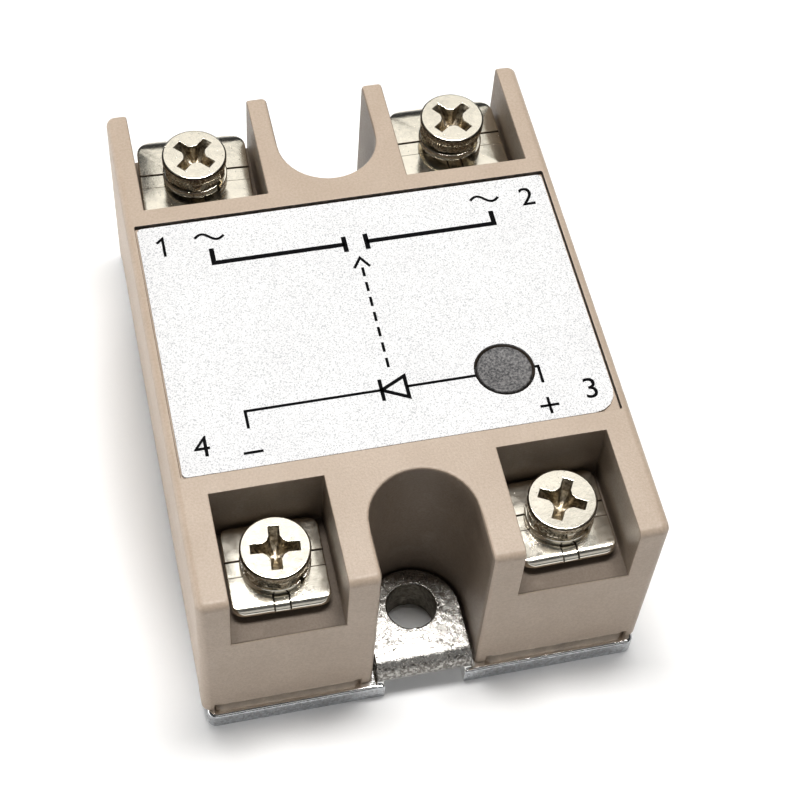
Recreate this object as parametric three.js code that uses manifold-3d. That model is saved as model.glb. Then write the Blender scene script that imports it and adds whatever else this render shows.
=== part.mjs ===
// Panel mounted solid state relay: moulded housing on a metal base plate, four screw terminals in open
// corner bays, a face label with an indicator window, and the switching parts inside.
// Millimetres, +Z up, origin at the centre of the underside of the base plate.
// The input end (terminals 3 and 4) faces -Y and the output end (terminals 1 and 2) faces +Y.
import * as THREE from 'three';
import { mergeVertices } from 'three/addons/utils/BufferGeometryUtils.js';
import Module from 'manifold-3d';

const wasm = await Module();
wasm.setup();

// ---------------------------------------------------------------- driving dimensions
const housingWidth = 45;
const housingLength = 59.8;
const housingTop = 24;
const cornerRadius = 0.9;
const topEdgeRadius = 0.8;
const wall = 1.9;

const baseWidth = 44.2;
const baseLength = 61.4;
const baseTop = 2.2;
const tabTop = 4.6;
const tabGap = 0.35;
const mountingHoleRadius = 2.5;
const mountingHoleY = 23.5;

const notchHalfWidth = 5.25;
const bayFloor = 16.1;
const floorThickness = 1.8;
const labelRecess = { left: -21.6, right: 21.6, front: -15.9, back: 14.5, depth: 0.55, cornerRadius: 0.15 };
const labelGap = 0.18;
const labelCorner = 0.5;
const labelIndexCorner = 2.4;
const labelThickness = 0.25;
const windowPlace = { x: 11.5, y: -9.15 };
const windowRadius = 2.75;

const terminalX = 14;
const strapThickness = 0.7;
const clampThickness = 1;
const headHeight = 2.2;
const headRadius = 3.4;
const shankRadius = 1.95;
const shankLength = 6.9;

// Threaded collar under each strap, and the leg that turns down into the board.
const collarRadius = 2.8;
const collarDrop = 2.5;
const strapHalfWidth = 4;
const legWidth = 3.6;
const legOffset = 2.8;

// Sealant groove under the housing's outer wall.
const grooveHeight = 1.1;
const grooveOuter = 0.5;
const grooveInner = 1.5;

const boardBottom = 9.4;
const boardThickness = 1.6;
const pinBelowBoard = 0.8;
const ceramicThickness = 0.8;
const insulator = { halfWidth: 11, front: -8, back: 15 };
const triac = { halfWidth: 7.7, front: -6, caseBack: 7, tabBack: 13.5, tabThickness: 1.5, caseHeight: 3.2 };
const triacLeads = { xs: [-5, 0, 5], y: -9, halfWidth: 0.5, thickness: 0.8, aboveTab: 1.4 };
const lamp = {
  flangeBottom: 15.2, flangeHeight: 0.9, flangeRadius: 1.9, radius: 1.5, bodyHeight: 3.4, pinX: 1.27,
};
const optocouplerSize = { left: -5.5, right: 2, front: -4, back: 2.5, height: 3.4 };
const capacitorSize = { left: -17.5, right: -5.5, front: 5, back: 11, height: 8.5, cornerRadius: 0.6 };
const transistorSize = { x: -14, y: -10, radius: 2.3, height: 4.8, flatAngle: 0.7 };
const fit = 0.3;

// Each end of the relay: which way it faces, its bays and notch, its clamp plates, and how far its
// screws stand loosened in the pose that is modelled. A slack spring washer stands higher than a flat one.
// Washer heights and driver turns are for the terminal at -X, then the one at +X.
const inputEnd = {
  side: -1, bayInner: 8.4, bayOuter: 19.4, bayDepth: 11.9, notchDepth: 11,
  terminalY: -23.1, clampSize: 9.5, loosened: 0, washerHeight: [1, 1], driverTurn: [-0.1, -0.5],
};
const outputEnd = {
  side: 1, bayInner: 7.4, bayOuter: 20.3, bayDepth: 13.4, notchDepth: 12.4,
  terminalY: 23.6, clampSize: 11.7, loosened: 1.75, washerHeight: [1.55, 2.05], driverTurn: [0.78, 0.66],
};
const ends = [inputEnd, outputEnd];
const terminals = [terminalAt(1, outputEnd, -1), terminalAt(2, outputEnd, 1), terminalAt(3, inputEnd, 1),
  terminalAt(4, inputEnd, -1)];

const strapTop = bayFloor + strapThickness;
const screwClearance = shankRadius + fit;
const triacTabBottom = baseTop + ceramicThickness;
const triacTabTop = triacTabBottom + triac.tabThickness;
const deckFloor = housingTop - labelRecess.depth;
const deckCeiling = deckFloor - floorThickness;
const boardTop = boardBottom + boardThickness;

function terminalAt(number, end, sideX) {
  const column = sideX < 0 ? 0 : 1;
  return {
    number, end, x: sideX * terminalX,
    washerHeight: end.washerHeight[column], driverTurn: end.driverTurn[column],
  };
}

// ---------------------------------------------------------------- materials
function material(color, roughness, metalness = 0) {
  return new THREE.MeshStandardMaterial({ color, roughness, metalness });
}

const beigePlastic = material(0xd9c8b4, 0.55);
const platedSteel = material(0xd8d2c2, 0.25, 1);
const castMetal = material(0xc4c6c8, 0.35, 1);
const sealantResin = material(0xb9aa96, 0.2);
const labelFilm = material(0xeeeeea, 0.6);
const smokedLens = material(0x2b2a2c, 0.25);
const redEpoxy = material(0xa01812, 0.2);
const boardLaminate = material(0x2f6b3c, 0.45);
const blackEpoxy = material(0x1d1d1f, 0.5);
const whiteCeramic = material(0xece9e2, 0.5);
const tinnedCopper = material(0xbfbfc2, 0.3, 1);
const capacitorCase = material(0x2c4f9a, 0.4);
const resistorPaint = material(0xc9b083, 0.5);

// ---------------------------------------------------------------- solids and booleans
function solidOf(geometry) {
  const bare = geometry.clone();
  bare.deleteAttribute('normal');
  bare.deleteAttribute('uv');
  const merged = mergeVertices(bare, 1e-5);
  return new wasm.Manifold(new wasm.Mesh({
    numProp: 3,
    vertProperties: new Float32Array(merged.attributes.position.array),
    triVerts: new Uint32Array(merged.index.array),
  }));
}

function geometryOf(solid) {
  const mesh = solid.getMesh();
  const geometry = new THREE.BufferGeometry();
  geometry.setAttribute('position', new THREE.BufferAttribute(mesh.vertProperties, 3));
  geometry.setIndex(new THREE.BufferAttribute(mesh.triVerts, 1));
  geometry.computeVertexNormals();
  return geometry;
}

function join(...geometries) {
  return geometryOf(geometries.map(solidOf).reduce((sum, next) => sum.add(next)));
}

function cut(geometry, ...tools) {
  return geometryOf(tools.map(solidOf).reduce((rest, tool) => rest.subtract(tool), solidOf(geometry)));
}

function common(first, second) {
  return geometryOf(solidOf(first).intersect(solidOf(second)));
}

// ---------------------------------------------------------------- basic shapes
function box(left, right, front, back, bottom, top) {
  const geometry = new THREE.BoxGeometry(right - left, back - front, top - bottom);
  return geometry.translate((left + right) / 2, (front + back) / 2, (bottom + top) / 2);
}

function drum(x, y, radius, bottom, top, sides = 32) {
  const geometry = new THREE.CylinderGeometry(radius, radius, top - bottom, sides);
  return geometry.rotateX(Math.PI / 2).translate(x, y, (bottom + top) / 2);
}

function turned(profile, sides) {
  const points = profile.map(([radius, height]) => new THREE.Vector2(radius, height));
  return new THREE.LatheGeometry(points, sides).rotateX(Math.PI / 2);
}

function slab(shape, bottom, top, curveSegments = 2) {
  const depth = top - bottom;
  const geometry = new THREE.ExtrudeGeometry(shape, { depth, bevelEnabled: false, curveSegments });
  return geometry.translate(0, 0, bottom);
}

function roundedRectangle(left, right, front, back, radius, frontRightRadius = radius) {
  const shape = new THREE.Shape();
  shape.absarc(right - frontRightRadius, front + frontRightRadius, frontRightRadius, -Math.PI / 2, 0);
  shape.absarc(right - radius, back - radius, radius, 0, Math.PI / 2);
  shape.absarc(left + radius, back - radius, radius, Math.PI / 2, Math.PI);
  shape.absarc(left + radius, front + radius, radius, Math.PI, Math.PI * 1.5);
  return shape;
}

// A shape drawn in the YZ plane, pushed along X from left to right.
function rail(shape, left, right, curveSegments = 2) {
  const depth = right - left;
  const geometry = new THREE.ExtrudeGeometry(shape, { depth, bevelEnabled: false, curveSegments });
  geometry.rotateX(Math.PI / 2);
  return geometry.rotateZ(Math.PI / 2).translate(left, 0, 0);
}

// The U notch of one end, grown sideways and inwards by a margin; it runs out past the end face.
function notch(end, margin, bottom, top) {
  const radius = notchHalfWidth + margin;
  const centre = housingLength / 2 - end.notchDepth + notchHalfWidth;
  const outside = housingLength / 2 + 5;
  const shape = new THREE.Shape();
  shape.moveTo(radius, outside);
  shape.lineTo(-radius, outside);
  shape.absarc(0, centre, radius, Math.PI, Math.PI * 2);
  const geometry = slab(shape, bottom, top, 10);
  return end.side > 0 ? geometry : geometry.rotateZ(Math.PI);
}

// The housing's footprint without its notches, drawn in by an inset.
function footprint(inset, bottom, top) {
  const x = housingWidth / 2 - inset;
  const y = housingLength / 2 - inset;
  return slab(roundedRectangle(-x, x, -y, y, cornerRadius), bottom, top);
}

// A closed band that follows the footprint and both notches, between two insets.
function perimeterBand(outerInset, innerInset, bottom, top) {
  const outer = cut(
    footprint(outerInset, bottom, top),
    ...ends.map((end) => notch(end, outerInset, bottom - 1, top + 1)),
  );
  const inner = cut(
    footprint(innerInset, bottom - 1, top + 1),
    ...ends.map((end) => notch(end, innerInset, bottom - 2, top + 2)),
  );
  return cut(outer, inner);
}

// ---------------------------------------------------------------- housing
function housingBlock() {
  const x = housingWidth / 2 - topEdgeRadius;
  const y = housingLength / 2 - topEdgeRadius;
  const block = new THREE.ExtrudeGeometry(roundedRectangle(-x, x, -y, y, 0.2), {
    depth: housingTop - topEdgeRadius,
    bevelThickness: topEdgeRadius,
    bevelSize: topEdgeRadius,
    bevelSegments: 3,
    curveSegments: 2,
  });
  return common(block, box(-40, 40, -40, 40, baseTop, 40));
}

function bay(end, sign) {
  const mouth = housingLength / 2 + 5;
  const back = housingLength / 2 - end.bayDepth;
  const xs = [sign * end.bayInner, sign * end.bayOuter].sort((a, b) => a - b);
  const ys = [end.side * back, end.side * mouth].sort((a, b) => a - b);
  return box(xs[0], xs[1], ys[0], ys[1], bayFloor, housingTop + 5);
}

function cavity() {
  const side = housingWidth / 2 - wall - fit;
  const lowCeiling = bayFloor - floorThickness;
  const low = cut(
    box(-side, side, wall - housingLength / 2, housingLength / 2 - wall, baseTop - 1, lowCeiling),
    ...ends.map((end) => notch(end, wall, baseTop - 2, housingTop)),
  );
  const front = inputEnd.bayDepth + wall - housingLength / 2;
  const back = housingLength / 2 - outputEnd.bayDepth - wall;
  return join(low, box(-side, side, front, back, lowCeiling - 1, deckCeiling));
}

// Opening in a bay floor for the strap's threaded collar and its leg.
function strapOpening(terminal) {
  const bottom = bayFloor - floorThickness - 1;
  const legSide = -terminal.end.side;
  const near = terminal.end.terminalY + legSide * (legOffset - 1);
  const far = terminal.end.terminalY + legSide * (legOffset + strapThickness + fit);
  const ys = [near, far].sort((a, b) => a - b);
  const halfWidth = legWidth / 2 + fit;
  return join(
    drum(terminal.x, terminal.end.terminalY, collarRadius + fit, bottom, bayFloor + 1),
    box(terminal.x - halfWidth, terminal.x + halfWidth, ys[0], ys[1], bottom, bayFloor + 1),
  );
}

// Rebate that leaves the sealant open to view along one straight stretch of an outer face.
function rebates() {
  const cornerFoot = 1.2;
  const bottom = baseTop - 1;
  const top = baseTop + grooveHeight;
  const x = housingWidth / 2;
  const y = housingLength / 2;
  const depth = grooveOuter + 0.2;
  const besideNotch = notchHalfWidth + cornerFoot;
  const stretches = [];
  for (const side of [-1, 1]) {
    const faceY = [side * y, side * (y - depth)].sort((a, b) => a - b);
    const faceX = [side * x, side * (x - depth)].sort((a, b) => a - b);
    stretches.push(box(-x + cornerFoot, -besideNotch, faceY[0], faceY[1], bottom, top));
    stretches.push(box(besideNotch, x - cornerFoot, faceY[0], faceY[1], bottom, top));
    stretches.push(box(faceX[0], faceX[1], -y + cornerFoot * 2, y - cornerFoot * 2, bottom, top));
  }
  return stretches;
}

function housing() {
  const { left, right, front, back } = labelRecess;
  const recess = roundedRectangle(left, right, front, back, labelRecess.cornerRadius);
  return cut(
    housingBlock(),
    ...ends.flatMap((end) => [bay(end, -1), bay(end, 1), notch(end, 0, 0, housingTop + 5)]),
    slab(recess, deckFloor, housingTop + 5),
    cavity(),
    ...terminals.map(strapOpening),
    drum(windowPlace.x, windowPlace.y, windowRadius + fit, deckCeiling - 1, housingTop),
    perimeterBand(grooveOuter, grooveInner, baseTop - 1, baseTop + grooveHeight),
    ...rebates(),
  );
}

function baseSealant() {
  const slack = 0.15;
  return perimeterBand(grooveOuter + slack, grooveInner - slack, baseTop, baseTop + grooveHeight - slack);
}

// ---------------------------------------------------------------- base plate
// Raised pad that fills the notch of one end, with its outer top edge rolled over.
function mountingPad(end) {
  const lip = 1.6;
  const lipFace = baseLength / 2 - 0.5;
  const profile = new THREE.Shape();
  profile.moveTo(0, 0);
  profile.lineTo(lipFace, 0);
  profile.lineTo(lipFace, tabTop - lip);
  profile.absarc(lipFace - lip, tabTop - lip, lip, 0, Math.PI / 2);
  profile.lineTo(0, tabTop);
  const lipped = rail(profile, -notchHalfWidth, notchHalfWidth, 3);
  return common(end.side > 0 ? lipped : lipped.rotateZ(Math.PI), notch(end, -tabGap, 0, tabTop + 1));
}

function basePlate() {
  const tunnelHalfWidth = 4.1;
  const tunnelDepth = 3.5;
  const tunnelHeight = 2.4;
  const x = baseWidth / 2;
  const y = baseLength / 2;
  const plate = slab(roundedRectangle(-x, x, -y, y, cornerRadius), 0, baseTop);
  return cut(
    join(plate, ...ends.map(mountingPad)),
    box(-tunnelHalfWidth, tunnelHalfWidth, -y - 1, -y + tunnelDepth, -1, tunnelHeight),
    drum(0, -mountingHoleY, mountingHoleRadius, -1, tabTop + 1),
    drum(0, mountingHoleY, mountingHoleRadius, -1, tabTop + 1),
    box(-mountingHoleRadius, mountingHoleRadius, mountingHoleY, y + 1, -1, tabTop + 1),
  );
}

// ---------------------------------------------------------------- face label and indicator
function faceLabel() {
  const outline = roundedRectangle(
    labelRecess.left + labelGap, labelRecess.right - labelGap,
    labelRecess.front + labelGap, labelRecess.back - labelGap, labelCorner, labelIndexCorner,
  );
  return cut(
    slab(outline, deckFloor, deckFloor + labelThickness),
    drum(windowPlace.x, windowPlace.y, windowRadius + fit, deckFloor - 1, housingTop),
  );
}

function indicatorWindow() {
  const top = deckFloor + labelThickness;
  const flangeRadius = windowRadius + 1;
  const bottom = deckCeiling - 0.6;
  const chamfer = 0.2;
  return turned([
    [0, bottom],
    [flangeRadius, bottom],
    [flangeRadius, deckCeiling],
    [windowRadius, deckCeiling],
    [windowRadius, top - chamfer],
    [windowRadius - chamfer, top],
    [0, top],
  ], 32).translate(windowPlace.x, windowPlace.y, 0);
}

function indicatorLamp() {
  const domeBase = lamp.flangeBottom + lamp.bodyHeight;
  const domeSteps = 4;
  const dome = [];
  for (let step = 0; step < domeSteps; step += 1) {
    const angle = (step / domeSteps) * (Math.PI / 2);
    dome.push([lamp.radius * Math.cos(angle), domeBase + lamp.radius * Math.sin(angle)]);
  }
  const bulb = turned([
    [0, lamp.flangeBottom],
    [lamp.flangeRadius, lamp.flangeBottom],
    [lamp.flangeRadius, lamp.flangeBottom + lamp.flangeHeight],
    [lamp.radius, lamp.flangeBottom + lamp.flangeHeight],
    ...dome,
    [0, domeBase + lamp.radius],
  ], 20);
  const pin = 0.25;
  const pins = [-lamp.pinX, lamp.pinX].map((x) => box(
    x - pin, x + pin, -pin, pin, boardBottom - pinBelowBoard, lamp.flangeBottom + pin,
  ));
  return join(bulb, ...pins).translate(windowPlace.x, windowPlace.y, 0);
}

// ---------------------------------------------------------------- terminals
// The strap lies on the bay floor; its leg turns down into the board on the side of the deck.
function terminalStrap(terminal) {
  const legFar = legOffset + strapThickness;
  const strap = cut(
    join(
      box(-strapHalfWidth, strapHalfWidth, -legFar, legFar, bayFloor, strapTop),
      box(-legWidth / 2, legWidth / 2, legOffset, legFar, boardBottom - pinBelowBoard, strapTop),
      drum(0, 0, collarRadius, bayFloor - collarDrop, strapTop, 24),
    ),
    drum(0, 0, screwClearance, bayFloor - collarDrop - 1, strapTop + 1, 24),
  );
  if (terminal.end.side > 0) strap.rotateZ(Math.PI);
  return strap.translate(terminal.x, terminal.end.terminalY, 0);
}

// Section of a clamp plate across its length: flat in the middle, both ends turned down.
function clampSection(half) {
  const bend = 1.3;
  const drop = 0.45;
  const lipWidth = 0.9;
  const footWidth = 1.2;
  const section = new THREE.Shape();
  section.moveTo(-half, strapTop - drop);
  section.lineTo(-half, strapTop + clampThickness - bend);
  section.absarc(-half + bend, strapTop + clampThickness - bend, bend, Math.PI, Math.PI / 2, true);
  section.lineTo(half - bend, strapTop + clampThickness);
  section.absarc(half - bend, strapTop + clampThickness - bend, bend, Math.PI / 2, 0, true);
  section.lineTo(half, strapTop - drop);
  section.lineTo(half - lipWidth, strapTop - drop);
  section.lineTo(half - footWidth, strapTop);
  section.lineTo(-half + footWidth, strapTop);
  section.lineTo(-half + lipWidth, strapTop - drop);
  section.closePath();
  return section;
}

function clampPlate(terminal) {
  const half = terminal.end.clampSize / 2;
  const cornerRounding = 1.7;
  const channelHalf = 0.73;
  const channelDepth = 0.2;
  const channelFloor = strapTop + clampThickness - channelDepth;
  const above = strapTop + clampThickness + 1;
  const plan = slab(roundedRectangle(-half, half, -half, half, cornerRounding), bayFloor, above);
  const plate = cut(
    common(rail(clampSection(half), -half, half), plan),
    box(-channelHalf, channelHalf, -half - 1, half + 1, channelFloor, above),
    box(-half - 1, half + 1, -channelHalf, channelHalf, channelFloor, above),
    drum(0, 0, screwClearance, bayFloor, above, 24),
  );
  return plate.translate(terminal.x, terminal.end.terminalY, terminal.end.loosened);
}

function springWasher(terminal) {
  const bottom = strapTop + clampThickness;
  const top = bottom + terminal.washerHeight;
  const outer = headRadius + 0.05;
  const splitHalf = 0.25;
  const splitTurn = -0.9;
  const ring = turned([
    [screwClearance, bottom],
    [outer, bottom],
    [outer, top],
    [screwClearance, top],
    [screwClearance, bottom],
  ], 32);
  const split = box(0, outer + 1, -splitHalf, splitHalf, bottom - 1, top + 1);
  const washer = cut(ring, split.rotateZ(splitTurn));
  return washer.translate(terminal.x, terminal.end.terminalY, terminal.end.loosened);
}

// Cross recess: two arms crossing over a short cone.
function crossRecess(top) {
  const armHalfLength = 2.2;
  const armHalfWidth = 0.5;
  const armFloor = top - 1.3;
  const coneTip = { radius: 0.5, height: top - 1.8 };
  const coneMouth = { radius: 1.3, height: top + 0.1 };
  return join(
    box(-armHalfLength, armHalfLength, -armHalfWidth, armHalfWidth, armFloor, coneMouth.height),
    box(-armHalfWidth, armHalfWidth, -armHalfLength, armHalfLength, armFloor, coneMouth.height),
    turned([
      [0, coneTip.height],
      [coneTip.radius, coneTip.height],
      [coneMouth.radius, coneMouth.height],
      [0, coneMouth.height],
    ], 16),
  );
}

function terminalScrew(terminal) {
  const seat = strapTop + clampThickness + terminal.washerHeight;
  const top = seat + headHeight;
  const tip = seat - shankLength;
  const tipChamfer = 0.5;
  const headChamfer = 0.25;
  const body = turned([
    [0, tip],
    [shankRadius - tipChamfer, tip],
    [shankRadius, tip + tipChamfer],
    [shankRadius, seat],
    [headRadius, seat],
    [headRadius, top - headChamfer],
    [headRadius - headChamfer, top],
    [0, top],
  ], 32);
  const screw = cut(body, crossRecess(top)).rotateZ(terminal.driverTurn);
  return screw.translate(terminal.x, terminal.end.terminalY, terminal.end.loosened);
}

// ---------------------------------------------------------------- inner parts
function circuitBoard() {
  const side = housingWidth / 2 - wall - fit * 3;
  const clearOfStraps = 1.1;
  const front = inputEnd.terminalY + clearOfStraps;
  const back = outputEnd.terminalY - clearOfStraps;
  const straps = terminals.map(({ x, end }) => {
    const near = end.terminalY - end.side * (legOffset - fit);
    const far = end.terminalY - end.side * (legOffset + strapThickness + fit);
    const halfWidth = legWidth / 2 + fit;
    return box(x - halfWidth, x + halfWidth, Math.min(near, far), Math.max(near, far), 0, housingTop);
  });
  const lampSlot = { halfWidth: lamp.pinX + 2 * fit, halfDepth: 2 * fit };
  const lampHole = box(
    windowPlace.x - lampSlot.halfWidth, windowPlace.x + lampSlot.halfWidth,
    windowPlace.y - lampSlot.halfDepth, windowPlace.y + lampSlot.halfDepth, 0, housingTop,
  );
  const leadHole = triacLeads.halfWidth * Math.SQRT2 + fit / 2;
  const leadHoles = triacLeads.xs.map((x) => drum(x, triacLeads.y, leadHole, 0, housingTop, 12));
  return cut(
    box(-side, side, front, back, boardBottom, boardTop),
    ...ends.map((end) => notch(end, wall + fit * 2, 0, housingTop)),
    ...straps,
    lampHole,
    ...leadHoles,
  );
}

function insulatorPlate() {
  const { halfWidth, front, back } = insulator;
  return box(-halfWidth, halfWidth, front, back, baseTop, triacTabBottom);
}

function triacTab() {
  return box(-triac.halfWidth, triac.halfWidth, triac.front, triac.tabBack, triacTabBottom, triacTabTop);
}

function triacCase() {
  const top = triacTabTop + triac.caseHeight;
  return box(-triac.halfWidth, triac.halfWidth, triac.front, triac.caseBack, triacTabTop, top);
}

// One lead: out of the case, then up through the board.
function triacLead(x) {
  const { y, halfWidth, thickness, aboveTab } = triacLeads;
  const level = triacTabTop + aboveTab;
  return join(
    box(x - halfWidth, x + halfWidth, y - halfWidth, triac.front, level, level + thickness),
    box(x - halfWidth, x + halfWidth, y - halfWidth, y + halfWidth, level, boardTop + pinBelowBoard),
  );
}

function optocoupler() {
  const { left, right, front, back, height } = optocouplerSize;
  return box(left, right, front, back, boardTop, boardTop + height);
}

function snubberCapacitor() {
  const { left, right, front, back, height } = capacitorSize;
  const outline = roundedRectangle(left, right, front, back, capacitorSize.cornerRadius);
  return slab(outline, boardTop, boardTop + height);
}

function inputTransistor() {
  const { x, y, radius, height, flatAngle } = transistorSize;
  const shape = new THREE.Shape();
  shape.absarc(0, 0, radius, -flatAngle, Math.PI + flatAngle);
  return slab(shape, boardTop, boardTop + height, 6).translate(x, y, 0);
}

// Axial part lying along X: a body with swollen ends and two leads bent down to the board.
function axialPart(x, y, length, radius) {
  const half = length / 2;
  const waist = radius * 0.88;
  const lead = 0.3;
  const reach = half + 1.5;
  const level = boardTop + radius + 0.2;
  const body = turned([
    [0, -half],
    [radius, -half],
    [radius, -half * 0.6],
    [waist, -half * 0.5],
    [waist, half * 0.5],
    [radius, half * 0.6],
    [radius, half],
    [0, half],
  ], 12).rotateY(Math.PI / 2).translate(0, 0, level);
  return join(
    body,
    box(-reach, reach, -lead, lead, level - lead, level + lead),
    ...[-reach, reach].map((bend) => box(bend - lead, bend + lead, -lead, lead, boardTop, level + lead)),
  ).translate(x, y, 0);
}

// ---------------------------------------------------------------- assembly
const relay = new THREE.Group();

function add(name, geometry, surface) {
  const mesh = new THREE.Mesh(geometry, surface.clone());
  mesh.name = name;
  relay.add(mesh);
}

add('housing', housing(), beigePlastic);
add('base_plate', basePlate(), castMetal);
add('base_sealant', baseSealant(), sealantResin);
add('face_label', faceLabel(), labelFilm);
add('indicator_window', indicatorWindow(), smokedLens);
add('indicator_lamp', indicatorLamp(), redEpoxy);
for (const terminal of terminals) {
  add(`terminal_strap_${terminal.number}`, terminalStrap(terminal), tinnedCopper);
  add(`clamp_plate_${terminal.number}`, clampPlate(terminal), platedSteel);
  add(`spring_washer_${terminal.number}`, springWasher(terminal), platedSteel);
  add(`terminal_screw_${terminal.number}`, terminalScrew(terminal), platedSteel);
}
add('insulator_plate', insulatorPlate(), whiteCeramic);
add('triac_tab', triacTab(), tinnedCopper);
add('triac_case', triacCase(), blackEpoxy);
triacLeads.xs.forEach((x, index) => add(`triac_lead_${index + 1}`, triacLead(x), tinnedCopper));
add('circuit_board', circuitBoard(), boardLaminate);
add('optocoupler', optocoupler(), blackEpoxy);
add('snubber_capacitor', snubberCapacitor(), capacitorCase);
add('snubber_resistor', axialPart(4, 11.5, 9, 1.8), resistorPaint);
add('gate_resistor', axialPart(10, 5, 6.2, 1.2), resistorPaint);
add('input_resistor', axialPart(-12, -4, 6.2, 1.2), resistorPaint);
add('input_diode', axialPart(2, -12, 4.6, 1.3), blackEpoxy);
add('input_transistor', inputTransistor(), blackEpoxy);

export default relay;
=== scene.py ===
import math

import bmesh
import bpy
from mathutils import Matrix, Vector, noise


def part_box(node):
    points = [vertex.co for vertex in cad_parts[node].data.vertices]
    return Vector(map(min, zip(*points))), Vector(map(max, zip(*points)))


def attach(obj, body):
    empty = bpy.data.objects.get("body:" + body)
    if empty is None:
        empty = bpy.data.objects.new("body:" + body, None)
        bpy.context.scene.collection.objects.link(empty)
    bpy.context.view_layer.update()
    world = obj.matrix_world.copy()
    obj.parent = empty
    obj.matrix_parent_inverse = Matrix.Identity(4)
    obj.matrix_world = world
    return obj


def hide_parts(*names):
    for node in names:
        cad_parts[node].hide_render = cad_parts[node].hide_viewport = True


MM = 0.001
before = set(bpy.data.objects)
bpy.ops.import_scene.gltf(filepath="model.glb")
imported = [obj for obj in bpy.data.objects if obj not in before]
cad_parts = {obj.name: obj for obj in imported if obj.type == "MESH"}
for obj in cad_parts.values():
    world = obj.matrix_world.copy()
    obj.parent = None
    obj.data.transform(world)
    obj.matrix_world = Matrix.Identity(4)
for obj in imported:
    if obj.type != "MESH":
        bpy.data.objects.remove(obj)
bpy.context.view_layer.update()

# ------------------------------------------------------------------ shared sizes, in mm
HEAD_RADIUS = 3.4
HEAD_HEIGHT = 2.2
SHANK_RADIUS = 1.95
THREAD_PITCH = 0.7
CLAMP_THICKNESS = 1.0
TERMINALS = (1, 2, 3, 4)
INPUT_TERMINALS = (3, 4)
DRIVER_TURN = {1: 0.78, 2: 0.66, 3: -0.5, 4: -0.1}
PLATE_TURN = {1: -0.05, 2: 0.0, 3: 0.02, 4: -0.02}


def in_mm(corner):
    return corner / MM


def middle(node):
    """Centre of a CAD node's box, in mm."""
    low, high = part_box(node)
    return in_mm((low + high) / 2)


# ------------------------------------------------------------------ materials
class Surface:
    """A Principled material fed by small procedural chains, with coordinates in millimetres."""

    def __init__(self, name, color, roughness, metallic=0.0, **constants):
        self.material = bpy.data.materials.new(name)
        self.material.use_nodes = True
        self.tree = self.material.node_tree
        self.shader = self.tree.nodes["Principled BSDF"]
        self.shader.inputs["Base Color"].default_value = (*color, 1)
        self.shader.inputs["Roughness"].default_value = roughness
        self.shader.inputs["Metallic"].default_value = metallic
        for socket, value in constants.items():
            self.shader.inputs[socket.replace("_", " ")].default_value = value
        place = self.tree.nodes.new("ShaderNodeTexCoord")
        scale = self.tree.nodes.new("ShaderNodeVectorMath")
        scale.operation = "SCALE"
        scale.inputs["Scale"].default_value = 1 / MM
        self.tree.links.new(place.outputs["Object"], scale.inputs[0])
        self.place = scale.outputs["Vector"]

    def feed(self, socket, value):
        """Links a socket's value, or sets it when the value is a plain number or colour."""
        if isinstance(value, bpy.types.NodeSocket):
            self.tree.links.new(value, socket)
        else:
            socket.default_value = value

    def stretched(self, x, y, z):
        node = self.tree.nodes.new("ShaderNodeVectorMath")
        node.operation = "MULTIPLY"
        self.tree.links.new(self.place, node.inputs[0])
        node.inputs[1].default_value = (x, y, z)
        return node.outputs["Vector"]

    def noise(self, size, detail=2.0, rough=0.5, place=None, distortion=0.0):
        """Noise from 0 to 1 whose features are about size millimetres across."""
        node = self.tree.nodes.new("ShaderNodeTexNoise")
        self.tree.links.new(place or self.place, node.inputs["Vector"])
        node.inputs["Scale"].default_value = 1 / size
        node.inputs["Detail"].default_value = detail
        node.inputs["Roughness"].default_value = rough
        node.inputs["Distortion"].default_value = distortion
        return node.outputs["Fac"]

    def cells(self, size):
        """Distance to the nearest of scattered points, in steps of about size millimetres."""
        node = self.tree.nodes.new("ShaderNodeTexVoronoi")
        node.feature = "F1"
        self.tree.links.new(self.place, node.inputs["Vector"])
        node.inputs["Scale"].default_value = 1 / size
        node.inputs["Randomness"].default_value = 1.0
        return node.outputs["Distance"]

    def remap(self, value, low, high, to_low=0.0, to_high=1.0, smooth=False):
        node = self.tree.nodes.new("ShaderNodeMapRange")
        node.interpolation_type = "SMOOTHSTEP" if smooth else "LINEAR"
        self.tree.links.new(value, node.inputs["Value"])
        node.inputs["From Min"].default_value = low
        node.inputs["From Max"].default_value = high
        node.inputs["To Min"].default_value = to_low
        node.inputs["To Max"].default_value = to_high
        return node.outputs["Result"]

    def math(self, operation, first, second):
        node = self.tree.nodes.new("ShaderNodeMath")
        node.operation = operation
        self.feed(node.inputs[0], first)
        self.feed(node.inputs[1], second)
        return node.outputs["Value"]

    def mix(self, factor, first, second):
        node = self.tree.nodes.new("ShaderNodeMix")
        node.data_type = "RGBA"
        self.feed(node.inputs["Factor"], factor)
        colors = [socket for socket in node.inputs if socket.type == "RGBA"]
        for socket, color in zip(colors, (first, second)):
            self.feed(socket, color if isinstance(color, bpy.types.NodeSocket) else (*color, 1))
        return next(socket for socket in node.outputs if socket.type == "RGBA")

    def axis(self, name):
        node = self.tree.nodes.new("ShaderNodeSeparateXYZ")
        self.tree.links.new(self.place, node.inputs["Vector"])
        return node.outputs[name]

    def color(self, value):
        self.tree.links.new(value, self.shader.inputs["Base Color"])

    def roughness(self, value):
        self.tree.links.new(value, self.shader.inputs["Roughness"])

    def bump(self, height, depth):
        """Adds a bump of depth millimetres on top of those already there."""
        node = self.tree.nodes.new("ShaderNodeBump")
        node.inputs["Strength"].default_value = 1.0
        node.inputs["Distance"].default_value = depth * MM
        self.tree.links.new(height, node.inputs["Height"])
        normal = self.shader.inputs["Normal"]
        if normal.links:
            self.tree.links.new(normal.links[0].from_socket, node.inputs["Normal"])
        self.tree.links.new(node.outputs["Normal"], normal)


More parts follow.
